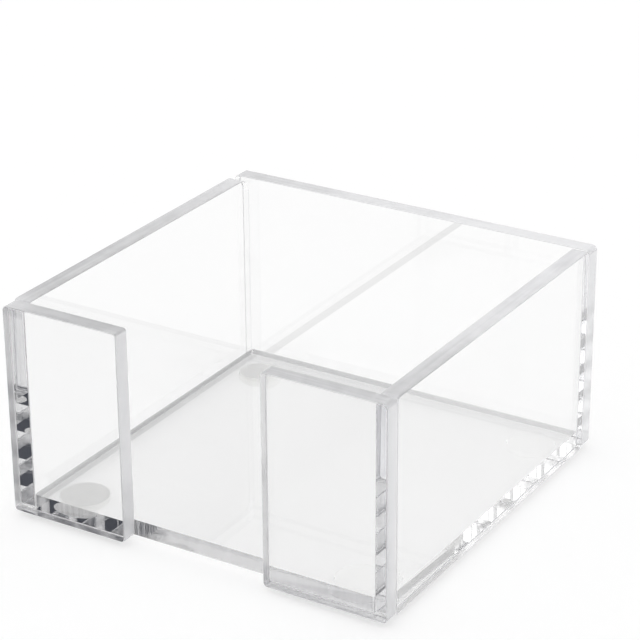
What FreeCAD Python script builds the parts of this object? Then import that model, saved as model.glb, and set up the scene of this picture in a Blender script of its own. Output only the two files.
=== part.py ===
import FreeCAD, Part
import os

import Sketcher

# Memo paper holder: an open box cemented together from flat clear acrylic plates, on four
# stick-on bumper feet. The front wall is two plates with a finger gap between them.
#
# Frame: millimetres, +Z up, front wall towards -Y, +X to the right seen from the front.
# The origin is the centre of the footprint, at the height of the surface the feet stand on.

SIZES = {
    # overall box
    "holder_width": 101.6,
    "holder_depth": 101.6,
    "panel_height": 53.0,
    # plates
    "panel_thickness": 4.4,
    "base_thickness": 4.0,
    "base_recess": 0.2,             # base bottom above the walls' lower edges
    "front_panel_width": 31.8,      # each side of the finger gap
    # corners of the plates, seen square on
    "wall_corner_radius": 1.3,      # upper outer corners of the front and back walls
    "side_corner_radius": 1.0,      # upper corners of the side walls
    "left_back_corner_radius": 3.6, # the left side wall's upper corner at the back
    "gap_corner_radius": 0.8,       # upper corners beside the finger gap
    "lower_corner_radius": 1.0,     # lower corners of every wall
    "base_corner_radius": 0.5,
    "arris_break": 0.2,             # sharp edges polished off round both faces of every wall
    # stick-on feet
    "foot_diameter": 12.0,
    "foot_height": 1.5,
    "foot_rim_radius": 0.5,         # rounded lower rim
    "foot_wall_margin": 2.4,        # from a foot's rim to the two walls nearest to it
    "adhesive_rim_margin": 0.3,     # the adhesive disc stops short of the foot's rim
    "adhesive_thickness": 0.15,
}

# Levels and distances worked out from the sheet. Every body is bound to these expressions.
BASE_BOTTOM = "(sizes.foot_height + sizes.adhesive_thickness)"
WALL_BOTTOM = f"({BASE_BOTTOM} - sizes.base_recess)"
BAY_WIDTH = "(sizes.holder_width - 2 * sizes.panel_thickness)"
BAY_DEPTH = "(sizes.holder_depth - 2 * sizes.panel_thickness)"
FRONT_PANEL_X = "(sizes.holder_width / 2 - sizes.front_panel_width / 2)"
FOOT_REACH = "(sizes.foot_wall_margin + sizes.foot_diameter / 2)"
FOOT_X = f"({BAY_WIDTH} / 2 - {FOOT_REACH})"
FOOT_Y = f"({BAY_DEPTH} / 2 - {FOOT_REACH})"

# Corners of a plate's outline, as signs along its sketch's own two axes.
UPPER_LEFT = (-1, 1)
UPPER_RIGHT = (1, 1)
LOWER_LEFT = (-1, -1)
LOWER_RIGHT = (1, -1)

TOUCHING = 1e-6                     # mm, two places closer than this are the same place

doc = FreeCAD.newDocument("memo_holder")


def fill_sheet():
    """Spreadsheet with every driving size under its own alias."""
    sheet = doc.addObject("Spreadsheet::Sheet", "sizes")
    for row, (name, value) in enumerate(SIZES.items(), start=1):
        sheet.set(f"A{row}", name)
        sheet.set(f"B{row}", str(value))
        sheet.setAlias(f"B{row}", name)
    doc.recompute()


def new_body(label, place):
    """Body whose placement follows the sheet: place holds its x, y and z expressions."""
    body = doc.addObject("PartDesign::Body", label)
    body.Label = label
    for axis, expression in zip("xyz", place):
        body.setExpression(f"Placement.Base.{axis}", expression)
    return body


def new_sketch(body, plane_role):
    """Sketch attached to one of the body's own origin planes."""
    plane = next(item for item in body.Origin.OriginFeatures if item.Role == plane_role)
    sketch = body.newObject("Sketcher::SketchObject", f"{body.Name}_outline")
    sketch.AttachmentSupport = [(plane, "")]
    sketch.MapMode = "FlatFace"
    return sketch


def bind_constraint(sketch, constraint, name, expression):
    index = sketch.addConstraint(constraint)
    sketch.renameConstraint(index, name)
    sketch.setExpression(f"Constraints.{name}", expression)


def draw_rectangle(sketch, width, height):
    """Rectangle centred on the sketch's origin, fully constrained."""
    half = 10.0
    points = [(-half, -half), (half, -half), (half, half), (-half, half)]
    for start, end in zip(points, points[1:] + points[:1]):
        line = Part.LineSegment(FreeCAD.Vector(*start, 0), FreeCAD.Vector(*end, 0))
        sketch.addGeometry(line, False)
    bottom, right, top, left = range(4)
    start_point, end_point = 1, 2
    origin = (-1, 1)
    for index, following in ((bottom, right), (right, top), (top, left), (left, bottom)):
        sketch.addConstraint(
            Sketcher.Constraint("Coincident", index, end_point, following, start_point)
        )
    for index in (bottom, top):
        sketch.addConstraint(Sketcher.Constraint("Horizontal", index))
    for index in (right, left):
        sketch.addConstraint(Sketcher.Constraint("Vertical", index))
    sketch.addConstraint(
        Sketcher.Constraint("Symmetric", bottom, start_point, top, start_point, *origin)
    )
    across = Sketcher.Constraint("DistanceX", bottom, start_point, bottom, end_point, 2 * half)
    bind_constraint(sketch, across, "width", width)
    upright = Sketcher.Constraint("DistanceY", right, start_point, right, end_point, 2 * half)
    bind_constraint(sketch, upright, "height", height)


def draw_circle(sketch, diameter):
    """Circle centred on the sketch's origin."""
    centre = FreeCAD.Vector(0, 0, 0)
    sketch.addGeometry(Part.Circle(centre, FreeCAD.Vector(0, 0, 1), 5.0), False)
    sketch.addConstraint(Sketcher.Constraint("Coincident", 0, 3, -1, 1))
    bind_constraint(sketch, Sketcher.Constraint("Diameter", 0, 10.0), "diameter", diameter)


def pad_sketch(body, sketch, thickness, inward=False):
    """Pad along the sketch plane's normal, or against it."""
    pad = body.newObject("PartDesign::Pad", f"{body.Name}_plate")
    pad.Profile = sketch
    pad.setExpression("Length", thickness)
    pad.Reversed = inward
    sketch.Visibility = False
    doc.recompute()
    return pad


def corner_edges(feature, plane_role, corners):
    """Names of the edges that run through the plate at the given corners of its outline."""
    across, upright = {"XY": "xy", "XZ": "xz", "YZ": "yz"}[plane_role[:2]]
    box = feature.Shape.BoundBox
    reach = {"x": box.XMax, "y": box.YMax, "z": box.ZMax}
    names = []
    for number, edge in enumerate(feature.Shape.Edges, start=1):
        spots = [vertex.Point for vertex in edge.Vertexes]
        for sign_across, sign_upright in corners:
            corner = (sign_across * reach[across], sign_upright * reach[upright])
            gaps = [
                abs(getattr(spot, across) - corner[0]) + abs(getattr(spot, upright) - corner[1])
                for spot in spots
            ]
            if max(gaps) < TOUCHING:
                names.append(f"Edge{number}")
    return names


def round_corners(body, feature, plane_role, corners, radius):
    """Round the plate's outline at the given corners."""
    fillet = body.newObject("PartDesign::Fillet", f"{body.Name}_corners")
    fillet.Base = (feature, corner_edges(feature, plane_role, corners))
    fillet.setExpression("Radius", radius)
    doc.recompute()
    return fillet


def break_arrises(body, feature, plane_role):
    """Chamfer the outline of both large faces of the plate."""
    normal = {"XY": "z", "XZ": "y", "YZ": "x"}[plane_role[:2]]
    names = []
    for number, face in enumerate(feature.Shape.Faces, start=1):
        if abs(getattr(face.normalAt(0, 0), normal)) > 1 - TOUCHING:
            names.append(f"Face{number}")
    chamfer = body.newObject("PartDesign::Chamfer", f"{body.Name}_arrises")
    chamfer.Base = (feature, names)
    chamfer.setExpression("Size", "sizes.arris_break")
    doc.recompute()


def make_wall(label, plane_role, width, place, rounding, inward):
    """Upright plate. rounding pairs groups of outline corners with their radius."""
    wall = new_body(label, (*place, f"{WALL_BOTTOM} + sizes.panel_height / 2"))
    sketch = new_sketch(wall, plane_role)
    draw_rectangle(sketch, width, "sizes.panel_height")
    feature = pad_sketch(wall, sketch, "sizes.panel_thickness", inward)
    for corners, radius in rounding:
        feature = round_corners(wall, feature, plane_role, corners, radius)
    break_arrises(wall, feature, plane_role)
    return wall


def make_back_panel():
    """Full-width rear wall, which covers the side walls' rear ends."""
    rounding = [
        ((UPPER_LEFT, UPPER_RIGHT), "sizes.wall_corner_radius"),
        ((LOWER_LEFT, LOWER_RIGHT), "sizes.lower_corner_radius"),
    ]
    place = ("0", "sizes.holder_depth / 2")
    return make_wall("back_panel", "XZ_Plane", "sizes.holder_width", place, rounding, False)


def make_side_panel(side_name, side, back_radius):
    """Side wall, which runs between the front and back walls."""
    rounding = [
        ((UPPER_LEFT,), "sizes.side_corner_radius"),
        ((UPPER_RIGHT,), back_radius),
        ((LOWER_LEFT, LOWER_RIGHT), "sizes.lower_corner_radius"),
    ]
    place = (f"{side} * sizes.holder_width / 2", "0")
    label = f"{side_name}_side_panel"
    return make_wall(label, "YZ_Plane", BAY_DEPTH, place, rounding, side > 0)


def make_front_panel(side_name, side):
    """Front wall on one side of the finger gap, which covers a side wall's front end."""
    rounding = [
        (((side, 1),), "sizes.wall_corner_radius"),
        (((-side, 1),), "sizes.gap_corner_radius"),
        ((LOWER_LEFT, LOWER_RIGHT), "sizes.lower_corner_radius"),
    ]
    place = (f"{side} * {FRONT_PANEL_X}", "-sizes.holder_depth / 2")
    label = f"front_{side_name}_panel"
    width = "sizes.front_panel_width"
    return make_wall(label, "XZ_Plane", width, place, rounding, True)


def make_base_plate():
    """Floor of the paper bay, set in between the walls."""
    base = new_body("base_plate", ("0", "0", BASE_BOTTOM))
    sketch = new_sketch(base, "XY_Plane")
    draw_rectangle(sketch, BAY_WIDTH, BAY_DEPTH)
    pad = pad_sketch(base, sketch, "sizes.base_thickness")
    corners = (UPPER_LEFT, UPPER_RIGHT, LOWER_LEFT, LOWER_RIGHT)
    round_corners(base, pad, "XY_Plane", corners, "sizes.base_corner_radius")
    return base


def make_disc(label, diameter, thickness, place):
    """Flat round disc that stands on its place."""
    disc = new_body(label, place)
    sketch = new_sketch(disc, "XY_Plane")
    draw_circle(sketch, diameter)
    return disc, pad_sketch(disc, sketch, thickness)


def make_foot(corner_name, side_x, side_y):
    """Moulded bumper foot with a rounded lower rim."""
    place = (f"{side_x} * {FOOT_X}", f"{side_y} * {FOOT_Y}", "0")
    foot, pad = make_disc(f"foot_{corner_name}", "sizes.foot_diameter", "sizes.foot_height", place)
    rim = [
        f"Edge{number}"
        for number, edge in enumerate(pad.Shape.Edges, start=1)
        if edge.BoundBox.ZMax < TOUCHING
    ]
    fillet = foot.newObject("PartDesign::Fillet", f"{foot.Name}_rim")
    fillet.Base = (pad, rim)
    fillet.setExpression("Radius", "sizes.foot_rim_radius")
    doc.recompute()
    return foot


def make_adhesive(corner_name, side_x, side_y):
    """Adhesive disc that holds a foot to the base."""
    place = (f"{side_x} * {FOOT_X}", f"{side_y} * {FOOT_Y}", "sizes.foot_height")
    diameter = "sizes.foot_diameter - 2 * sizes.adhesive_rim_margin"
    label = f"foot_adhesive_{corner_name}"
    return make_disc(label, diameter, "sizes.adhesive_thickness", place)[0]


def make_holder():
    """All sub-parts of the holder."""
    parts = [make_base_plate(), make_back_panel()]
    back_radii = {"left": "sizes.left_back_corner_radius", "right": "sizes.side_corner_radius"}
    for side_name, side in (("left", -1), ("right", 1)):
        parts.append(make_side_panel(side_name, side, back_radii[side_name]))
        parts.append(make_front_panel(side_name, side))
        for end_name, end in (("front", -1), ("back", 1)):
            parts.append(make_foot(f"{end_name}_{side_name}", side, end))
            parts.append(make_adhesive(f"{end_name}_{side_name}", side, end))
    doc.recompute()
    return parts


def check_document(parts):
    """Stop if an object of the document failed, or a sub-part isn't one sound solid."""
    for item in doc.Objects:
        if "Invalid" in item.State or "Error" in item.State:
            raise RuntimeError(f"{item.Label} failed: {item.State}")
    for part in parts:
        shape = part.Shape
        if shape.isNull() or not shape.isValid() or len(shape.Solids) != 1:
            raise RuntimeError(f"{part.Label} is not one valid solid")


def write_parts(parts):
    os.makedirs("parts", exist_ok=True)
    for part in parts:
        part.Shape.exportStep(f"parts/{part.Label}.step")


fill_sheet()
holder_parts = make_holder()
check_document(holder_parts)
write_parts(holder_parts)
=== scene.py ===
import math

import bmesh
import bpy
from mathutils import Matrix, Vector


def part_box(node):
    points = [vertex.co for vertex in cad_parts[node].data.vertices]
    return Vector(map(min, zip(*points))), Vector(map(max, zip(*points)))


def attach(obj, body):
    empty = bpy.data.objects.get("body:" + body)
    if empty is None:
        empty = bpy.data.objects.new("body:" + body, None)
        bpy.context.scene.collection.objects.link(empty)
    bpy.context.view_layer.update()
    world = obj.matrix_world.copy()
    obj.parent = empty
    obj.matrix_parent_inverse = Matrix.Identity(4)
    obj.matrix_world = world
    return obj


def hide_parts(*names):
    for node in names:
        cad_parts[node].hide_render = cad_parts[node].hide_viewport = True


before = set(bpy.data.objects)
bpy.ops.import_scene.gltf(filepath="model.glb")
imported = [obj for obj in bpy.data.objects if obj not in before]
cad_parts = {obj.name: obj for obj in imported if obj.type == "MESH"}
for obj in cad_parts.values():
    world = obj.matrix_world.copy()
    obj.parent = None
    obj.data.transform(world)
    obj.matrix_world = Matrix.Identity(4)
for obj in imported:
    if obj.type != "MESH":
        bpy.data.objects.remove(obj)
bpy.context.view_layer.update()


# ---------------------------------------------------------------- sizes, in metres

# radii of the corners in the plates' outlines
WALL_CORNER = 0.0013
SIDE_CORNER = 0.0010
LEFT_BACK_CORNER = 0.0036
GAP_CORNER = 0.0008
LOWER_CORNER = 0.0010
BASE_CORNER = 0.0005
ARC_STEPS = 10
# width of the broken edges between faces and rims
ARRIS = 0.0002
SEAM_WIDTH = 0.0004

# where a foot's adhesive has wetted the base: diameter, and how far to the right of the foot's middle
CONTACTS = {
    "foot_front_left": (0.0119, 0.0),
    "foot_front_right": (0.0119, 0.0),
    "foot_back_left": (0.0092, -0.0013),
}
DISC_STEPS = 48
# keep an adhesive disc's flat faces apart from the base and the foot, and the floor from the feet
DISC_GAP = 0.00002
FLOOR_DROP = 0.00002
FLOOR_REACH = 3.0

BASE_LOW, BASE_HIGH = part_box("base_plate")
BACK_LOW, BACK_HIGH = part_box("back_panel")
LEFT_LOW, LEFT_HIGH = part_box("left_side_panel")
RIGHT_LOW, RIGHT_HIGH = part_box("right_side_panel")
FRONT_LOW, FRONT_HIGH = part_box("front_left_panel")

INNER_FRONT = BASE_LOW.y
INNER_BACK = BASE_HIGH.y
GAP_SIDE = -FRONT_HIGH.x
# reaches of the slow changes of tone across the part: its half width, and where the feet stand
HALF = 0.05
FEET_REACH = 0.03
# further out than the part reaches
FAR_OUT = 1.0

# ---------------------------------------------------------------- mesh tolerances

SHARP_ANGLE = math.radians(20)
DISC_SHARP_ANGLE = math.radians(40)
CUT_MARGIN = 1e-6
SAME_PLACE = 1e-7
ON_JOINT = 1e-5
NARROW_AREA = 1e-5
# how much of a face's unit normal has to lie along an axis
FLAT = 0.99
SQUARE = 0.97
MOSTLY = 0.5
LEANS = 0.3
BARELY = 0.05

# ---------------------------------------------------------------- node helpers

def new_material(name):
    material = bpy.data.materials.new(name)
    material.use_nodes = True
    material.node_tree.nodes.clear()
    return material


def add_node(tree, kind, links=None, **settings):
    node = tree.nodes.new(kind)
    for name, value in settings.items():
        if name in node.inputs:
            node.inputs[name].default_value = value
        else:
            setattr(node, name, value)
    for name, source in (links or {}).items():
        tree.links.new(source, node.inputs[name])
    return node


def number(tree, operation, first, second, clamp=False):
    """Math node. first is a socket, second a socket or a number."""
    node = add_node(tree, "ShaderNodeMath", {0: first}, operation=operation, use_clamp=clamp)
    if isinstance(second, (int, float)):
        node.inputs[1].default_value = second
    else:
        tree.links.new(second, node.inputs[1])
    return node.outputs[0]


def product(tree, first, *others):
    for other in others:
        first = number(tree, "MULTIPLY", first, other)
    return first


def size_of(tree, value):
    return number(tree, "ABSOLUTE", value, 0)


def spread(tree, value, low, high, first, last, smooth=True):
    """Map value from low..high to first..last, clamped."""
    node = add_node(tree, "ShaderNodeMapRange", {"Value": value})
    node.interpolation_type = "SMOOTHSTEP" if smooth else "LINEAR"
    for name, amount in (("From Min", low), ("From Max", high), ("To Min", first), ("To Max", last)):
        node.inputs[name].default_value = amount
    return node.outputs[0]


def inside_span(tree, value, low, high):
    """1 between low and high, 0 elsewhere."""
    above = number(tree, "GREATER_THAN", value, low)
    return number(tree, "MULTIPLY", above, number(tree, "LESS_THAN", value, high))


def part_axes(tree):
    """X, Y and Z sockets in the part's own frame, in metres."""
    place = add_node(tree, "ShaderNodeTexCoord")
    split = add_node(tree, "ShaderNodeSeparateXYZ", {0: place.outputs["Object"]})
    return split.outputs


def stretched_noise(tree, scale, detail=2.0, roughness=0.5):
    """Noise in the part's own frame. scale holds how fast it changes along x, y and z, per metre."""
    place = add_node(tree, "ShaderNodeTexCoord")
    mapping = add_node(tree, "ShaderNodeMapping", {"Vector": place.outputs["Object"]}, Scale=scale)
    noise = add_node(tree, "ShaderNodeTexNoise", {"Vector": mapping.outputs[0]}, Scale=1.0, Detail=detail,
                     Roughness=roughness)
    return noise.outputs["Fac"]


def even(scale):
    return (scale, scale, scale)


def along_plate(axis, along, across):
    """Scales for a noise that changes by along in the plate and by across through its thickness."""
    scale = [along] * 3
    scale[axis] = across
    return scale


# parts of a noise's range that are drawn out to full contrast
NARROW_WINDOW = (0.35, 0.65)
WIDE_WINDOW = (0.3, 0.7)


def contrast(tree, noise, window, strength=1):
    return spread(tree, noise, window[0], window[1], 0, strength)


def mix_colours(tree, share, first, second):
    """first and second are colours or colour sockets."""
    node = tree.nodes.new("ShaderNodeMix")
    node.data_type = "RGBA"
    tree.links.new(share, node.inputs[0])
    for place, colour in ((6, first), (7, second)):
        if isinstance(colour, tuple):
            node.inputs[place].default_value = (*colour, 1)
        else:
            tree.links.new(colour, node.inputs[place])
    return node.outputs[2]


def grey_of(tree, tone):
    return add_node(tree, "ShaderNodeCombineXYZ", {0: tone, 1: tone, 2: tone}).outputs[0]


def bump(tree, height, distance, below=None):
    node = add_node(tree, "ShaderNodeBump", {"Height": height}, Strength=1.0, Distance=distance)
    if below is not None:
        tree.links.new(below, node.inputs["Normal"])
    return node.outputs[0]


ACRYLIC_IOR = 1.491


def add_principled(tree, links, roughness=None, transmission=1.0, ior=ACRYLIC_IOR):
    surface = add_node(tree, "ShaderNodeBsdfPrincipled", links)
    surface.inputs["IOR"].default_value = ior
    if "Transmission Weight" not in links:
        surface.inputs["Transmission Weight"].default_value = transmission
    if roughness is not None:
        surface.inputs["Roughness"].default_value = roughness
    add_node(tree, "ShaderNodeOutputMaterial", {"Surface": surface.outputs[0]})
    return surface


# ---------------------------------------------------------------- clear sheet

BLACK = (0, 0, 0)
ACRYLIC_TONES = ((0.975, 0.975, 0.975), (0.983, 0.983, 0.983))
ACRYLIC_CLOUD_SCALE = 60


def make_acrylic():
    """Clear cast sheet."""
    material = new_material("clear_acrylic")
    tree = material.node_tree
    clouds = stretched_noise(tree, even(ACRYLIC_CLOUD_SCALE))
    tone = mix_colours(tree, clouds, *ACRYLIC_TONES)
    add_principled(tree, {"Base Color": tone}, roughness=0.0)
    return material


# ---------------------------------------------------------------- buffed edges

POLISHED_TONES = ((0.52, 0.52, 0.53), (0.845, 0.845, 0.86))
POLISHED_ROUGHNESS = (0.14, 0.20)
POLISHED_CLEAR = 0.25
POLISHED_DETAIL = 3
BLOTCH_SCALE = 260
BLOTCH_STRENGTH = 0.15
# per metre along the plate and through it
STREAK_SCALE = (35, 900)
STREAK_STRENGTH = 0.25
# painted light: buffed edges painted paler towards the rear
REAR_PAINTED_LIGHT = 0.65
# painted light and shade that the left and the right end add, for plates across x, y and z, and its share at
# the front
END_PAINTED_LIGHT = ((-0.28, 0.32), (-0.38, 0.35), (0.0, 0.0))
END_PAINTED_LIGHT_IN_FRONT = 0.3
# side walls only: where the right wall's painted light fades out at the rear
RIGHT_PAINTED_FADE_START = 0.02
RIGHT_PAINTED_FADE = -0.35
# painted light: buffed edges painted paler at the front left corner
CORNER_PAINTED_LIGHT = 0.60
CORNER_PAINTED_LIGHT_SPAN = (-0.050, -0.038)
BUFF_MARK_SCALE = (1400, 120)
BUFF_MARK_DETAIL = 2
BUFF_MARK_DEPTH = 0.000004
BUFF_WAVE_SCALE = 160
BUFF_WAVE_DETAIL = 1
BUFF_WAVE_DEPTH = 0.00001


def left_end_painted_light(tree, place, axis):
    to_left = spread(tree, place["X"], -HALF, 0.0, END_PAINTED_LIGHT[axis][0], 0, False)
    return product(tree, to_left, spread(tree, place["Y"], -HALF, 0.0, END_PAINTED_LIGHT_IN_FRONT, 1.0))


def right_end_painted_light(tree, place, axis):
    to_right = spread(tree, place["X"], 0.0, HALF, 0, END_PAINTED_LIGHT[axis][1], False)
    if axis != 0:
        return product(tree, to_right, spread(tree, place["Y"], -HALF, 0.0, END_PAINTED_LIGHT_IN_FRONT, 1.0))
    middle = spread(tree, size_of(tree, place["Y"]), 0.0, HALF, 1.0, 0.0)
    rear = spread(tree, place["Y"], RIGHT_PAINTED_FADE_START, HALF, 0, RIGHT_PAINTED_FADE)
    return product(tree, to_right, number(tree, "ADD", middle, rear))


def front_left_corner_painted_light(tree, place):
    near_left = spread(tree, place["X"], *CORNER_PAINTED_LIGHT_SPAN, CORNER_PAINTED_LIGHT, 0)
    return product(tree, near_left, spread(tree, place["Y"], *CORNER_PAINTED_LIGHT_SPAN, 1, 0))


def polished_streaks_and_painted_light(tree, axis):
    """From 0, the darkest tone of a buffed edge, to 1, the palest: random blotches and streaks, plus painted
    light that is paler at the rear, at the right end and at the front left corner, and painted shade at the
    left end.
    """
    place = part_axes(tree)
    blotches = stretched_noise(tree, even(BLOTCH_SCALE), POLISHED_DETAIL)
    streaks = stretched_noise(tree, along_plate(axis, *STREAK_SCALE), POLISHED_DETAIL)
    parts = [
        contrast(tree, streaks, NARROW_WINDOW, STREAK_STRENGTH),
        spread(tree, place["Y"], -HALF, HALF, 0, REAR_PAINTED_LIGHT),
        left_end_painted_light(tree, place, axis),
        right_end_painted_light(tree, place, axis),
    ]
    share = contrast(tree, blotches, NARROW_WINDOW, BLOTCH_STRENGTH)
    for part in parts:
        share = number(tree, "ADD", share, part)
    return number(tree, "ADD", share, front_left_corner_painted_light(tree, place), True)


def make_polished_edge(axis):
    """Buffed edge of a plate across axis: blotches, lengthwise streaks, and faint marks across, with painted
    light and shade along it.
    """
    material = new_material("polished_edge_painted_light_" + "xyz"[axis])
    tree = material.node_tree
    share = polished_streaks_and_painted_light(tree, axis)
    tone = mix_colours(tree, share, *POLISHED_TONES)
    roughness = spread(tree, share, 0, 1, *POLISHED_ROUGHNESS)
    marks = stretched_noise(tree, along_plate(axis, *BUFF_MARK_SCALE), BUFF_MARK_DETAIL)
    waves = stretched_noise(tree, even(BUFF_WAVE_SCALE), BUFF_WAVE_DETAIL)
    relief = bump(tree, waves, BUFF_WAVE_DEPTH, bump(tree, marks, BUFF_MARK_DEPTH))
    add_principled(tree, {"Base Color": tone, "Roughness": roughness, "Normal": relief},
                   transmission=POLISHED_CLEAR)
    return material


# ---------------------------------------------------------------- upright ends

END_TONES = ((0.69, 0.69, 0.71), (0.84, 0.84, 0.85))
END_CLEAR = 0.45
END_ROUGHNESS = 0.12
END_CLOUD_SCALE = 220
END_CLOUD_DETAIL = 3
END_CLOUD_STRENGTH = 0.5
# painted light: upright ends painted paler towards the front
END_FRONT_PAINTED_LIGHT = 0.5
END_FRONT_PAINTED_LIGHT_SPAN = (-0.02, 0.05)
# painted shade: the front right plate's end, beside the finger gap, is painted darker
GAP_END_PAINTED_SHADE = 0.5
GAP_END_PAINTED_SHADE_REACH = 0.004
END_WAVE_SCALE = (200, 200, 60)
END_WAVE_DETAIL = 1
END_WAVE_DEPTH = 0.00001


def make_end():
    """Upright end of a plate, buffed until it is nearly as clear as the sheet, with painted light towards
    the front and painted shade beside the finger gap.
    """
    material = new_material("clear_edge_painted_light")
    tree = material.node_tree
    place = part_axes(tree)
    clouds = stretched_noise(tree, even(END_CLOUD_SCALE), END_CLOUD_DETAIL)
    share = number(tree, "MULTIPLY", clouds, END_CLOUD_STRENGTH)
    share = number(tree, "ADD", share, spread(tree, place["Y"], *END_FRONT_PAINTED_LIGHT_SPAN, END_FRONT_PAINTED_LIGHT, 0.0))
    off = size_of(tree, number(tree, "SUBTRACT", place["X"], GAP_SIDE))
    darker = spread(tree, off, 0.0, GAP_END_PAINTED_SHADE_REACH, GAP_END_PAINTED_SHADE, 0.0, False)
    share = number(tree, "SUBTRACT", share, darker, True)
    tone = mix_colours(tree, share, *END_TONES)
    waves = bump(tree, stretched_noise(tree, END_WAVE_SCALE, END_WAVE_DETAIL), END_WAVE_DEPTH)
    add_principled(tree, {"Base Color": tone, "Normal": waves}, roughness=END_ROUGHNESS,
                   transmission=END_CLEAR)
    return material


# ---------------------------------------------------------------- laser-cut edges

LASER_TONES = ((0.55, 0.55, 0.56), (0.66, 0.66, 0.67))
LASER_ROUGHNESS = 0.06
LASER_CLEAR = 0.80
LASER_LINE_SCALE = (2600, 60)
LASER_LINE_DETAIL = 3
LASER_LINE_ROUGHNESS = 0.6
LASER_LINE_DEPTH = 0.000012
LASER_WAVE_SCALE = (420, 160)
LASER_WAVE_DETAIL = 2
LASER_WAVE_DEPTH = 0.00005
# the base's front edge has coarser, darker lines at the left end of the finger gap
HATCH_START = -0.0185
HATCH_END = -0.0085
HATCH_LEFT = HATCH_START - 0.002
HATCH_BACK = -0.045
HATCH_SCALE = (1500, 40)
HATCH_DETAIL = 2
HATCH_WINDOW = (0.42, 0.62)
HATCH_SHADE = 0.55
HATCH_DEPTH = 6.0


def add_hatch(tree, axis, tone, lines):
    """Tone and line height, with the coarse lines at the left end of the finger gap added."""
    place = part_axes(tree)
    where = product(
        tree,
        spread(tree, place["X"], HATCH_START, HATCH_END, 1, 0),
        inside_span(tree, place["X"], HATCH_LEFT, 0.0),
        inside_span(tree, place["Y"], -FAR_OUT, HATCH_BACK),
    )
    hatch = stretched_noise(tree, along_plate(axis, *HATCH_SCALE), HATCH_DETAIL, LASER_LINE_ROUGHNESS)
    dark = product(tree, where, spread(tree, hatch, *HATCH_WINDOW, HATCH_SHADE, 0))
    higher = product(tree, where, hatch, HATCH_DEPTH)
    return mix_colours(tree, dark, tone, BLACK), number(tree, "ADD", lines, higher)


def make_laser_edge(axis):
    """Edge as it was cut, of a plate across axis: fine lines across the thickness and shallow waves."""
    material = new_material("laser_edge_" + "xyz"[axis])
    tree = material.node_tree
    lines = stretched_noise(tree, along_plate(axis, *LASER_LINE_SCALE), LASER_LINE_DETAIL,
                            LASER_LINE_ROUGHNESS)
    tone = mix_colours(tree, contrast(tree, lines, WIDE_WINDOW), *LASER_TONES)
    if axis == 2:
        tone, lines = add_hatch(tree, axis, tone, lines)
    waves = stretched_noise(tree, along_plate(axis, *LASER_WAVE_SCALE), LASER_WAVE_DETAIL)
    relief = bump(tree, waves, LASER_WAVE_DEPTH, bump(tree, lines, LASER_LINE_DEPTH))
    add_principled(tree, {"Base Color": tone, "Normal": relief}, roughness=LASER_ROUGHNESS,
                   transmission=LASER_CLEAR)
    return material


# ---------------------------------------------------------------- broken edges

ARRIS_TONES = ((0.66, 0.66, 0.67), (0.80, 0.80, 0.81))
ARRIS_SCALE = 900
ARRIS_ROUGHNESS = 0.3
ARRIS_CLEAR = 0.6


def make_arris():
    """Broken edge between a face and its rim, frosted."""
    material = new_material("arris")
    tree = material.node_tree
    tone = mix_colours(tree, stretched_noise(tree, even(ARRIS_SCALE)), *ARRIS_TONES)
    add_principled(tree, {"Base Color": tone}, roughness=ARRIS_ROUGHNESS, transmission=ARRIS_CLEAR)
    return material


# ---------------------------------------------------------------- solvent joints

CEMENT_TONES = ((0.77, 0.77, 0.78), (0.86, 0.86, 0.87))
GREY_TONES = ((0.67, 0.67, 0.68), (0.80, 0.80, 0.81))
STREAKED_TONES = ((0.84, 0.84, 0.855), (0.97, 0.97, 0.98))
SEAM_TONES = ((0.80, 0.80, 0.81), (0.90, 0.90, 0.91))
CLEAR_TONES = ((0.975, 0.975, 0.975), (1.0, 1.0, 1.0))
JOINT_STREAK_SCALE = (1100, 1100, 40)
JOINT_STREAK_DETAIL = 3
JOINT_STREAK_ROUGHNESS = 0.6


def make_joint_material(name, tones):
    """Solvent joint, faintly grey, with drawn-out streaks."""
    material = new_material(name)
    tree = material.node_tree
    streaks = stretched_noise(tree, JOINT_STREAK_SCALE, JOINT_STREAK_DETAIL, JOINT_STREAK_ROUGHNESS)
    tone = mix_colours(tree, contrast(tree, streaks, WIDE_WINDOW), *tones)
    surface = add_node(tree, "ShaderNodeBsdfTransparent", {"Color": tone})
    add_node(tree, "ShaderNodeOutputMaterial", {"Surface": surface.outputs[0]})
    return material


# ---------------------------------------------------------------- feet

RUBBER_TONES = ((0.99, 0.99, 0.985), (1.0, 1.0, 1.0))
RUBBER_CLOUD_SCALE = 350
RUBBER_CLOUD_DETAIL = 3
RUBBER_CLOUD_STRENGTH = 0.2
# painted light: feet painted paler towards the right, darker on the left where shade falls
RUBBER_RIGHT_PAINTED_LIGHT = 0.8
RUBBER_GRAIN_SCALE = 4000
RUBBER_GRAIN_DETAIL = 2
RUBBER_GRAIN_DEPTH = 0.00001
RUBBER_ROUGHNESS = 0.1
RUBBER_CLEAR = 0.97
FOOT_IOR = 1.018
ADHESIVE_IOR = 1.008

CONTACT_TONES = ((0.82, 0.82, 0.81), (1.0, 1.0, 0.995))
CONTACT_CLOUD_STRENGTH = 0.15
# painted light: contact areas painted paler towards the rear and the right
CONTACT_REAR_PAINTED_LIGHT = 0.15
CONTACT_RIGHT_PAINTED_LIGHT = 0.85
CONTACT_CLEAR = 0.92


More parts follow.
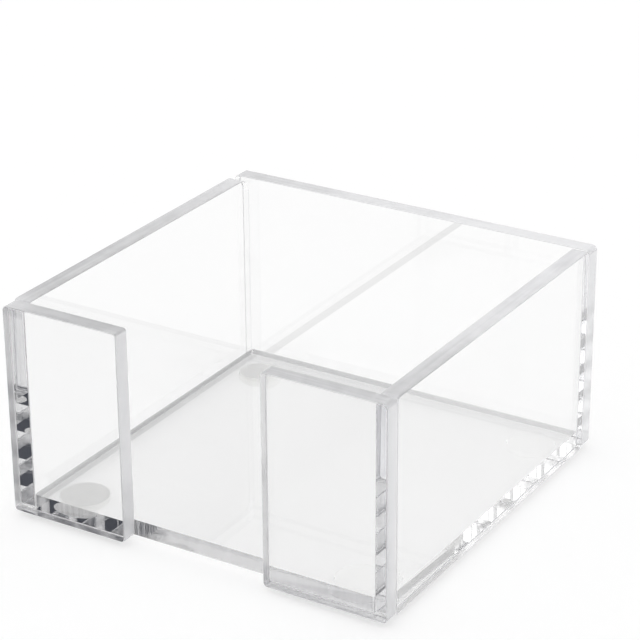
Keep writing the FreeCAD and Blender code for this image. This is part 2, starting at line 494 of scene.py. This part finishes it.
def make_rubber(name, ior):
    """Cloudy soft plastic. Its ior is close to air's, so that the milky contact area is what shows. Its tone
    is painted paler towards the right as painted light.
    """
    material = new_material(name)
    tree = material.node_tree
    place = part_axes(tree)
    right = spread(tree, place["X"], -FEET_REACH, FEET_REACH, 0, RUBBER_RIGHT_PAINTED_LIGHT)
    clouds = stretched_noise(tree, even(RUBBER_CLOUD_SCALE), RUBBER_CLOUD_DETAIL)
    clouds = product(tree, contrast(tree, clouds, WIDE_WINDOW), RUBBER_CLOUD_STRENGTH)
    tone = mix_colours(tree, number(tree, "ADD", clouds, right), *RUBBER_TONES)
    grain = stretched_noise(tree, even(RUBBER_GRAIN_SCALE), RUBBER_GRAIN_DETAIL)
    relief = bump(tree, grain, RUBBER_GRAIN_DEPTH)
    add_principled(tree, {"Base Color": tone, "Normal": relief}, RUBBER_ROUGHNESS, RUBBER_CLEAR, ior)
    return material


def make_contact():
    """Base's underside where a foot's adhesive wets it: milky on the left, nearly clear on the right, its
    tone painted darker on the left and paler towards the right and the rear as painted shade and light.
    """
    material = new_material("foot_contact_painted_light")
    tree = material.node_tree
    place = part_axes(tree)
    right = spread(tree, place["X"], -FEET_REACH, FEET_REACH, 0, CONTACT_RIGHT_PAINTED_LIGHT)
    rear = spread(tree, place["Y"], -FEET_REACH, FEET_REACH, 0, CONTACT_REAR_PAINTED_LIGHT)
    clouds = stretched_noise(tree, even(RUBBER_CLOUD_SCALE), RUBBER_CLOUD_DETAIL)
    share = number(tree, "ADD", contrast(tree, clouds, WIDE_WINDOW, CONTACT_CLOUD_STRENGTH), rear)
    tone = mix_colours(tree, number(tree, "ADD", share, right), *CONTACT_TONES)
    clear = spread(tree, place["X"], -FEET_REACH, FEET_REACH, 0.0, CONTACT_CLEAR)
    surface = add_principled(tree, {"Base Color": tone, "Transmission Weight": clear}, roughness=0.0)
    surface.inputs["Specular IOR Level"].default_value = 0.0
    return material


# ---------------------------------------------------------------- material slots of the plates

(CLEAR_SLOT, POLISHED_SLOT, LASER_SLOT, ARRIS_SLOT, CEMENT_SLOT, CONTACT_SLOT, CLEAR_JOINT_SLOT, END_SLOT,
 SEAM_SLOT, STREAKED_SLOT, GREY_SLOT) = range(11)

ACRYLIC = make_acrylic()
CEMENT_JOINT = make_joint_material("cement_joint", CEMENT_TONES)
CLEAR_JOINT = make_joint_material("clear_joint", CLEAR_TONES)
JOINT_SEAM = make_joint_material("joint_seam", SEAM_TONES)
STREAKED_JOINT = make_joint_material("streaked_joint", STREAKED_TONES)
GREY_JOINT = make_joint_material("grey_joint", GREY_TONES)
ARRIS_FROST = make_arris()
POLISHED = [make_polished_edge(axis) for axis in range(3)]
LASER = [make_laser_edge(axis) for axis in range(3)]
CLEAR_END = make_end()
CONTACT = make_contact()
FOOT = make_rubber("foot_pad", FOOT_IOR)
ADHESIVE = make_rubber("foot_adhesive", ADHESIVE_IOR)


def slot_materials(axis):
    """The materials of a plate across axis, in the slots' order."""
    return [
        ACRYLIC,
        POLISHED[axis],
        LASER[axis],
        ARRIS_FROST,
        CEMENT_JOINT,
        CONTACT,
        CLEAR_JOINT,
        CLEAR_END,
        JOINT_SEAM,
        STREAKED_JOINT,
        GREY_JOINT,
    ]


# ---------------------------------------------------------------- plates

def outline_points(low, high, radii, inset):
    """Rounded rectangle, anticlockwise from the lower left corner. radii: lower left, lower right, upper
    right, upper left. inset draws every side in."""
    (u0, v0), (u1, v1) = low, high
    corners = [
        (u0, v0, 1, 1, math.pi),
        (u1, v0, -1, 1, 1.5 * math.pi),
        (u1, v1, -1, -1, 0.0),
        (u0, v1, 1, -1, 0.5 * math.pi),
    ]
    points = []
    for (u, v, du, dv, start), radius in zip(corners, radii):
        centre_u = u + du * radius
        centre_v = v + dv * radius
        for step in range(ARC_STEPS + 1):
            angle = start + 0.5 * math.pi * step / ARC_STEPS
            reach = radius - inset
            points.append((centre_u + reach * math.cos(angle), centre_v + reach * math.sin(angle)))
    return points


def circle_ring(mesh, x, y, z, radius):
    ring = []
    for step in range(DISC_STEPS):
        angle = 2 * math.pi * step / DISC_STEPS
        ring.append(mesh.verts.new((x + radius * math.cos(angle), y + radius * math.sin(angle), z)))
    return ring


def middle_of(low, high):
    return (low.x + high.x) / 2, (low.y + high.y) / 2


def plate_levels(low, high, arris):
    """Height and inset of each ring through the thickness."""
    if arris == 0:
        return [(low, 0.0), (high, 0.0)]
    return [(low, arris), (low + arris, 0.0), (high - arris, 0.0), (high, arris)]


def loft_rings(mesh, axis, levels, low, high, radii):
    """Rim of the plate, from ring to ring. Returns the rings."""
    u, v = [i for i in range(3) if i != axis]
    rings = []
    for level, inset in levels:
        ring = []
        for a, b in outline_points((low[u], low[v]), (high[u], high[v]), radii, inset):
            place = [0.0, 0.0, 0.0]
            place[axis], place[u], place[v] = level, a, b
            ring.append(mesh.verts.new(place))
        rings.append(ring)
    last = len(rings) - 2
    for step, (lower, upper) in enumerate(zip(rings, rings[1:])):
        is_arris = last > 0 and step in (0, last)
        for i in range(len(lower)):
            j = (i + 1) % len(lower)
            face = mesh.faces.new((lower[i], lower[j], upper[j], upper[i]))
            face.smooth = True
            face.material_index = ARRIS_SLOT if is_arris else POLISHED_SLOT
    return rings


def ring_edges(mesh, ring):
    return [mesh.edges.get(pair) or mesh.edges.new(pair) for pair in zip(ring, ring[1:] + ring[:1])]


def cap_with_contacts(mesh, ring, level):
    """Lower cap of the base, divided round each foot's contact area."""
    edges = ring_edges(mesh, ring)
    discs = []
    for name, (diameter, aside) in CONTACTS.items():
        x, y = middle_of(*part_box(name))
        disc = circle_ring(mesh, x + aside, y, level, diameter / 2)
        edges += ring_edges(mesh, disc)
        discs.append(disc)
    bmesh.ops.triangle_fill(mesh, use_beauty=True, edges=edges, normal=(0, 0, -1))
    inside = []
    for face in mesh.faces:
        centre = face.calc_center_median()
        flat = all(abs(vert.co.z - level) < SAME_PLACE for vert in face.verts)
        for disc in discs:
            middle = sum((vert.co for vert in disc), Vector()) / len(disc)
            if flat and (centre - middle).length < (disc[0].co - middle).length:
                inside.append(face)
    bmesh.ops.delete(mesh, geom=inside, context="FACES_ONLY")
    for disc in discs:
        face = mesh.faces.new(list(reversed(disc)))
        face.material_index = CONTACT_SLOT


def cut_at_joint(mesh, low, high, joint):
    """Divide the faces along the borders of one glued area."""
    joint_axis, level, start, end, slot = joint
    for other in (i for i in range(3) if i != joint_axis):
        for cut in (start[other], end[other]):
            if not low[other] + CUT_MARGIN < cut < high[other] - CUT_MARGIN:
                continue
            normal = Vector((0, 0, 0))
            normal[other] = 1.0
            place = Vector((0, 0, 0))
            place[other] = cut
            bmesh.ops.bisect_plane(
                mesh,
                geom=mesh.verts[:] + mesh.edges[:] + mesh.faces[:],
                dist=SAME_PLACE,
                plane_co=place,
                plane_no=normal,
            )


def mark_joint(mesh, joint):
    """Give a glued area's faces its slot."""
    joint_axis, level, start, end, slot = joint
    others = [i for i in range(3) if i != joint_axis]
    for face in mesh.faces:
        centre = face.calc_center_bounds()
        if abs(face.normal[joint_axis]) < FLAT or abs(centre[joint_axis] - level) > ON_JOINT:
            continue
        if all(start[i] < centre[i] < end[i] for i in others):
            face.material_index = slot


def mark_laser_cuts(mesh, axis):
    """The base's whole rim and the walls' lower edges stay as they were cut."""
    for face in mesh.faces:
        if face.material_index == POLISHED_SLOT and (axis == 2 or face.normal.z < -LEANS):
            face.material_index = LASER_SLOT


def end_slot(node, face):
    """Slot of a buffed face that isn't a flat top."""
    if node == "left_side_panel" and face.normal.y > MOSTLY and face.normal.z > BARELY:
        return CLEAR_SLOT
    if node == "back_panel" and face.normal.z > LEANS:
        return POLISHED_SLOT
    if face.calc_center_median().x > 0 or face.normal.z < LEANS:
        return END_SLOT
    return POLISHED_SLOT


def mark_ends(mesh, node, axis):
    """Upright ends, corner arcs, and the side walls' upper broken edges."""
    for face in mesh.faces:
        is_top = abs(face.normal.z) >= SQUARE and face.calc_area() >= NARROW_AREA
        if face.material_index == POLISHED_SLOT and not is_top:
            face.material_index = end_slot(node, face)
        if node == "back_panel" and face.normal.x < -SQUARE:
            face.material_index = CLEAR_SLOT
        if axis == 0 and face.material_index == ARRIS_SLOT and face.normal.z > MOSTLY:
            face.material_index = POLISHED_SLOT


def mark_sharp_edges(mesh, angle):
    for edge in mesh.edges:
        if edge.calc_face_angle(0.0) > angle:
            edge.smooth = False


def add_piece(mesh, name, node, materials):
    """Put the mesh in the scene for a CAD node."""
    data = bpy.data.meshes.new(name)
    mesh.to_mesh(data)
    mesh.free()
    for material in materials:
        data.materials.append(material)
    piece = bpy.data.objects.new(name, data)
    bpy.context.scene.collection.objects.link(piece)
    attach(piece, "root")
    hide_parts(node)


def make_plate(node, axis, radii, joints, arris=ARRIS, contacts=False):
    """Plate with rounded outline corners. axis is the one across its thickness."""
    low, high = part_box(node)
    mesh = bmesh.new()
    rings = loft_rings(mesh, axis, plate_levels(low[axis], high[axis], arris), low, high, radii)
    if contacts:
        cap_with_contacts(mesh, rings[0], low[axis])
    else:
        mesh.faces.new(list(reversed(rings[0])))
    mesh.faces.new(rings[-1])
    bmesh.ops.recalc_face_normals(mesh, faces=mesh.faces)
    mark_sharp_edges(mesh, SHARP_ANGLE)
    for joint in joints:
        cut_at_joint(mesh, low, high, joint)
    mark_laser_cuts(mesh, axis)
    for joint in joints:
        mark_joint(mesh, joint)
    mark_ends(mesh, node, axis)
    add_piece(mesh, f"{node}_clear", node, slot_materials(axis))


# ---------------------------------------------------------------- glued areas

def side_joint_slot(is_left, is_rear):
    if is_left:
        return CLEAR_JOINT_SLOT if is_rear else GREY_SLOT
    return STREAKED_SLOT if is_rear else CEMENT_SLOT


def side_wall_joints(low, high):
    """A side wall's two ends. Each joint: axis, level on it, lowest and highest corner, slot."""
    joints = []
    is_left = low.x < 0
    for level in (INNER_FRONT, INNER_BACK):
        is_rear = level == INNER_BACK
        corner = LEFT_BACK_CORNER if is_left and is_rear else SIDE_CORNER
        start = (low.x + ARRIS, 0, BACK_LOW.z + LOWER_CORNER)
        end = (high.x - ARRIS, 0, BACK_HIGH.z - corner)
        joints.append((1, level, start, end, side_joint_slot(is_left, is_rear)))
        if is_left and is_rear:
            seam_start = (end[0] - SEAM_WIDTH, 0, start[2])
            joints.append((1, level, seam_start, end, SEAM_SLOT))
    return joints


def base_joints():
    """The base's four sides. Its front is glued to the two front plates only."""
    left = BASE_LOW.x + BASE_CORNER
    right = BASE_HIGH.x - BASE_CORNER
    front = BASE_LOW.y + BASE_CORNER
    back = BASE_HIGH.y - BASE_CORNER
    lower = BASE_LOW.z
    upper = BASE_HIGH.z
    return [
        (0, BASE_LOW.x, (0, front, lower), (0, back, upper), CLEAR_JOINT_SLOT),
        (0, BASE_HIGH.x, (0, front, lower), (0, back, upper), CLEAR_JOINT_SLOT),
        (1, INNER_BACK, (left, 0, lower), (right, 0, upper), CLEAR_JOINT_SLOT),
        (1, INNER_FRONT, (left, 0, lower), (-GAP_SIDE - ARRIS, 0, upper), GREY_SLOT),
        (1, INNER_FRONT, (GAP_SIDE + ARRIS, 0, lower), (right, 0, upper), GREY_SLOT),
    ]


JOINTS = side_wall_joints(LEFT_LOW, LEFT_HIGH) + side_wall_joints(RIGHT_LOW, RIGHT_HIGH) + base_joints()

# radii: lower left, lower right, upper right, upper left, in each plate's own plane
BACK_RADII = (LOWER_CORNER, LOWER_CORNER, WALL_CORNER, WALL_CORNER)
FRONT_LEFT_RADII = (LOWER_CORNER, LOWER_CORNER, GAP_CORNER, WALL_CORNER)
FRONT_RIGHT_RADII = (LOWER_CORNER, LOWER_CORNER, WALL_CORNER, GAP_CORNER)
LEFT_SIDE_RADII = (LOWER_CORNER, LOWER_CORNER, LEFT_BACK_CORNER, SIDE_CORNER)
RIGHT_SIDE_RADII = (LOWER_CORNER, LOWER_CORNER, SIDE_CORNER, SIDE_CORNER)
BASE_RADII = (BASE_CORNER,) * 4

make_plate("back_panel", 1, BACK_RADII, JOINTS)
make_plate("front_left_panel", 1, FRONT_LEFT_RADII, JOINTS)
make_plate("front_right_panel", 1, FRONT_RIGHT_RADII, JOINTS)
make_plate("left_side_panel", 0, LEFT_SIDE_RADII, JOINTS)
make_plate("right_side_panel", 0, RIGHT_SIDE_RADII, JOINTS)
make_plate("base_plate", 2, BASE_RADII, JOINTS, arris=0, contacts=True)

# ---------------------------------------------------------------- feet and their adhesive

def dress_foot(name):
    """The CAD foot stays, with a better material."""
    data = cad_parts[name].data
    data.materials.clear()
    data.materials.append(FOOT)


def make_adhesive_disc(node):
    """Adhesive disc, a hair thinner than its CAD solid so that no two faces coincide."""
    low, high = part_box(node)
    x, y = middle_of(low, high)
    radius = (high.x - low.x) / 2
    mesh = bmesh.new()
    lower = circle_ring(mesh, x, y, low.z + DISC_GAP, radius)
    upper = circle_ring(mesh, x, y, high.z - DISC_GAP, radius)
    for i in range(DISC_STEPS):
        j = (i + 1) % DISC_STEPS
        face = mesh.faces.new((lower[i], lower[j], upper[j], upper[i]))
        face.smooth = True
    mesh.faces.new(list(reversed(lower)))
    mesh.faces.new(upper)
    mark_sharp_edges(mesh, DISC_SHARP_ANGLE)
    add_piece(mesh, f"{node}_disc", node, [ADHESIVE])


ADHESIVE_NODES = [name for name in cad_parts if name.startswith("foot_adhesive")]
FOOT_NODES = [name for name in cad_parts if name.startswith("foot_") and name not in ADHESIVE_NODES]

for name in FOOT_NODES:
    dress_foot(name)
for name in ADHESIVE_NODES:
    make_adhesive_disc(name)

# ---------------------------------------------------------------- floor

FLOOR_TONE = 0.95
# share of the floor that glows white for rays that show it. The rest takes light and shadow.
OPEN_GLOW = 0.5
THROUGH_GLOW = 0.5
# the shades stand in for the real set's dark surroundings, for rays that come through the acrylic
SIDE_SHADE = (0.20, 0.14)
SIDE_SHADE_WIDTH = 0.0029
LEFT_SHADE = 0.42
LEFT_SHADE_REACH = (0.0040, 0.0046)
BACK_SHADE = 0.12
BACK_SHADE_SPAN = (-0.0010, 0.0001)
NEAR_SHADE = 0.080
UNDER_SHADE = 0.055
UNDER_LEFT_SHARE = 0.55


def side_shade(tree, place, side):
    """Strips under the side walls, darker at the front."""
    deep = spread(tree, place["Y"], INNER_FRONT, INNER_BACK, *SIDE_SHADE, False)
    return product(tree, deep, inside_span(tree, side, BASE_HIGH.x, BASE_HIGH.x + SIDE_SHADE_WIDTH))


def back_shade(tree, place, side):
    """Strip under the base's rear edge."""
    strip = inside_span(tree, place["Y"], *(INNER_BACK + more for more in BACK_SHADE_SPAN))
    return product(tree, strip, inside_span(tree, side, -FAR_OUT, BASE_HIGH.x), BACK_SHADE)


def left_shade(tree, place):
    """Strip beside the left wall's outer face."""
    near, far = [LEFT_LOW.x - more for more in LEFT_SHADE_REACH]
    strip = spread(tree, place["X"], near, far, LEFT_SHADE, 0, False)
    outside = inside_span(tree, place["X"], -FAR_OUT, LEFT_LOW.x)
    return product(tree, strip, outside, inside_span(tree, place["Y"], FRONT_LOW.y, BACK_HIGH.y))


def base_shade(tree, place, side):
    """Under the whole base, darker at the front and paler at the left."""
    deep = spread(tree, place["Y"], BASE_LOW.y, 0.0, NEAR_SHADE, UNDER_SHADE, False)
    return product(
        tree,
        deep,
        spread(tree, place["X"], -FEET_REACH, 0.0, UNDER_LEFT_SHARE, 1),
        inside_span(tree, side, -FAR_OUT, BASE_HIGH.x),
        inside_span(tree, place["Y"], BASE_LOW.y, BASE_HIGH.y),
    )


def floor_shade(tree):
    """Darkest of the shades at each place."""
    place = part_axes(tree)
    side = size_of(tree, place["X"])
    shade = number(tree, "MAXIMUM", side_shade(tree, place, side), back_shade(tree, place, side))
    shade = number(tree, "MAXIMUM", shade, left_shade(tree, place))
    return number(tree, "MAXIMUM", shade, base_shade(tree, place, side))


def make_floor_material():
    material = new_material("floor_white")
    tree = material.node_tree
    path = add_node(tree, "ShaderNodeLightPath").outputs
    open_glow = number(tree, "MAXIMUM", path["Is Camera Ray"], path["Is Glossy Ray"])
    open_glow = product(tree, open_glow, OPEN_GLOW)
    glow_share = number(tree, "MAXIMUM", open_glow, product(tree, path["Is Transmission Ray"], THROUGH_GLOW))
    shade = product(tree, floor_shade(tree), path["Is Transmission Ray"])
    tone = spread(tree, shade, 0, 1, 1.0, 0.0, False)
    paint = grey_of(tree, product(tree, tone, FLOOR_TONE))
    surface = add_node(tree, "ShaderNodeBsdfDiffuse", {"Color": paint})
    glow = add_node(tree, "ShaderNodeEmission", {"Color": grey_of(tree, tone)}, Strength=1.0)
    mix = add_node(tree, "ShaderNodeMixShader", {0: glow_share, 1: surface.outputs[0], 2: glow.outputs[0]})
    add_node(tree, "ShaderNodeOutputMaterial", {"Surface": mix.outputs[0]})
    return material


def make_floor():
    data = bpy.data.meshes.new("floor")
    corners = [(-1, -1), (1, -1), (1, 1), (-1, 1)]
    corners = [(x * FLOOR_REACH, y * FLOOR_REACH, -FLOOR_DROP) for x, y in corners]
    data.from_pydata(corners, [], [(0, 1, 2, 3)])
    data.materials.append(make_floor_material())
    floor = bpy.data.objects.new("floor", data)
    bpy.context.scene.collection.objects.link(floor)


# ---------------------------------------------------------------- world

# light on the object, the same from all sides
LIGHT_LEVEL = 1.06
# what clear and glossy surfaces show of the studio. Spans are along x, y or z of a unit direction.
BAND_TONE = 0.30
BAND_FALL = (0.30, 0.43)
BAND_RISE = (0.45, 0.52)
BAND_REAR_SPAN = (-0.2, 0.4)
BAND_LEFT_SPAN = (-0.25, 0.0)
BAND_LEFT_SHARE = 0.35
ABOVE_BAND_TONE = 0.82
# in front, the studio is brighter on the left and darker on the right
FRONT_LEFT_TONE = 1.4
FRONT_RIGHT_TONE = 0.55
FRONT_DEPTH_SPAN = (-0.3, -0.6)
FRONT_HEIGHT_SPAN = (0.1, 0.3)
FRONT_LEFT_SPAN = (0.1, -0.3)
FRONT_RIGHT_SPAN = (0.0, 0.3)
# a small dark patch behind the object, at the right, which the joints of the front plates mirror
PATCH_DIRECTION = (0.557, 0.695, 0.455)
PATCH_COLOUR = (0.008, 0.014, 0.035)
PATCH_REACH = (0.055, 0.115)
HALO_REACH = (0.08, 0.32)
HALO_TONE = 0.62
# a ray is direct until its first bounce off a matt surface
DIRECT_DEPTH = 0.5


def dark_band(tree, place):
    """How much darker the studio is in a band at the back, and above it."""
    behind = spread(tree, place["Y"], *BAND_REAR_SPAN, 0, 1)
    behind = product(tree, behind, spread(tree, place["X"], *BAND_LEFT_SPAN, BAND_LEFT_SHARE, 1))
    fall = spread(tree, place["Z"], *BAND_FALL, 0, 1.0 - BAND_TONE)
    rise = spread(tree, place["Z"], *BAND_RISE, 0, ABOVE_BAND_TONE - BAND_TONE)
    return product(tree, behind, number(tree, "SUBTRACT", fall, rise))


def front_corner(tree, place, side_span, strength):
    """A soft area in front of the object, on one side."""
    return product(
        tree,
        spread(tree, place["Y"], *FRONT_DEPTH_SPAN, 0, strength),
        spread(tree, place["Z"], *FRONT_HEIGHT_SPAN, 0, 1),
        spread(tree, place["X"], *side_span, 0, 1),
    )


def studio_colour(tree):
    directions = add_node(tree, "ShaderNodeTexCoord").outputs["Generated"]
    place = add_node(tree, "ShaderNodeSeparateXYZ", {0: directions}).outputs
    brighter = front_corner(tree, place, FRONT_LEFT_SPAN, FRONT_LEFT_TONE - 1.0)
    darker = front_corner(tree, place, FRONT_RIGHT_SPAN, 1.0 - FRONT_RIGHT_TONE)
    front = number(tree, "SUBTRACT", brighter, darker)
    tone = number(tree, "ADD", number(tree, "SUBTRACT", front, dark_band(tree, place)), 1.0)
    off = add_node(tree, "ShaderNodeVectorMath", {0: directions}, operation="DISTANCE")
    off.inputs[1].default_value = PATCH_DIRECTION
    off = off.outputs["Value"]
    tone = product(tree, tone, spread(tree, off, *HALO_REACH, HALO_TONE, 1))
    outside_patch = spread(tree, off, *PATCH_REACH, 0, 1)
    return mix_colours(tree, outside_patch, PATCH_COLOUR, grey_of(tree, tone))


def seen_directly(tree):
    """1 for camera, transmission and glossy rays that no matt surface has scattered."""
    path = add_node(tree, "ShaderNodeLightPath").outputs
    clear = number(tree, "MAXIMUM", path["Is Camera Ray"], path["Is Transmission Ray"])
    seen = number(tree, "MAXIMUM", clear, path["Is Glossy Ray"])
    return product(tree, seen, number(tree, "LESS_THAN", path["Diffuse Depth"], DIRECT_DEPTH))


def make_world():
    world = bpy.data.worlds.new("studio")
    bpy.context.scene.world = world
    world.use_nodes = True
    tree = world.node_tree
    tree.nodes.clear()
    lamp = add_node(tree, "ShaderNodeBackground", Color=(1, 1, 1, 1), Strength=LIGHT_LEVEL)
    room = add_node(tree, "ShaderNodeBackground", {"Color": studio_colour(tree)}, Strength=1.0)
    mix = add_node(tree, "ShaderNodeMixShader",
                   {0: seen_directly(tree), 1: lamp.outputs[0], 2: room.outputs[0]})
    add_node(tree, "ShaderNodeOutputWorld", {"Surface": mix.outputs[0]})


# ---------------------------------------------------------------- camera and render settings

CAMERA_PLACE = (0.27599, -0.44550, 0.27911)
# degrees, from a camera solution fitted to the box's straight edges in the photograph
CAMERA_AZIMUTH = 31.4703
CAMERA_ELEVATION = 24.2825
CAMERA_ROLL = -0.3769
LENS = 136.659
SENSOR_WIDTH = 36.0
CLIP_START = 0.01
CLIP_END = 50
# a ray meets many clear faces before it leaves the box
MOST_BOUNCES = 64


def make_camera():
    data = bpy.data.cameras.new("camera")
    data.lens = LENS
    data.sensor_width = SENSOR_WIDTH
    data.clip_start = CLIP_START
    data.clip_end = CLIP_END
    camera = bpy.data.objects.new("camera", data)
    bpy.context.scene.collection.objects.link(camera)
    azimuth, elevation, roll = (math.radians(a) for a in (CAMERA_AZIMUTH, CAMERA_ELEVATION, CAMERA_ROLL))
    back = Vector((
        math.sin(azimuth) * math.cos(elevation),
        -math.cos(azimuth) * math.cos(elevation),
        math.sin(elevation),
    ))
    turn = (-back).to_track_quat("-Z", "Y").to_matrix().to_4x4()
    place = Matrix.Translation(Vector(CAMERA_PLACE))
    camera.matrix_world = place @ turn @ Matrix.Rotation(roll, 4, "Z")
    bpy.context.scene.camera = camera


def set_light_paths(cycles):
    cycles.max_bounces = MOST_BOUNCES
    cycles.glossy_bounces = MOST_BOUNCES
    cycles.transmission_bounces = MOST_BOUNCES
    cycles.transparent_max_bounces = MOST_BOUNCES
    cycles.blur_glossy = 0.0
    cycles.sample_clamp_indirect = 0.0


make_floor()
make_world()
make_camera()
set_light_paths(bpy.context.scene.cycles)
bpy.context.scene.view_settings.view_transform = "Standard"
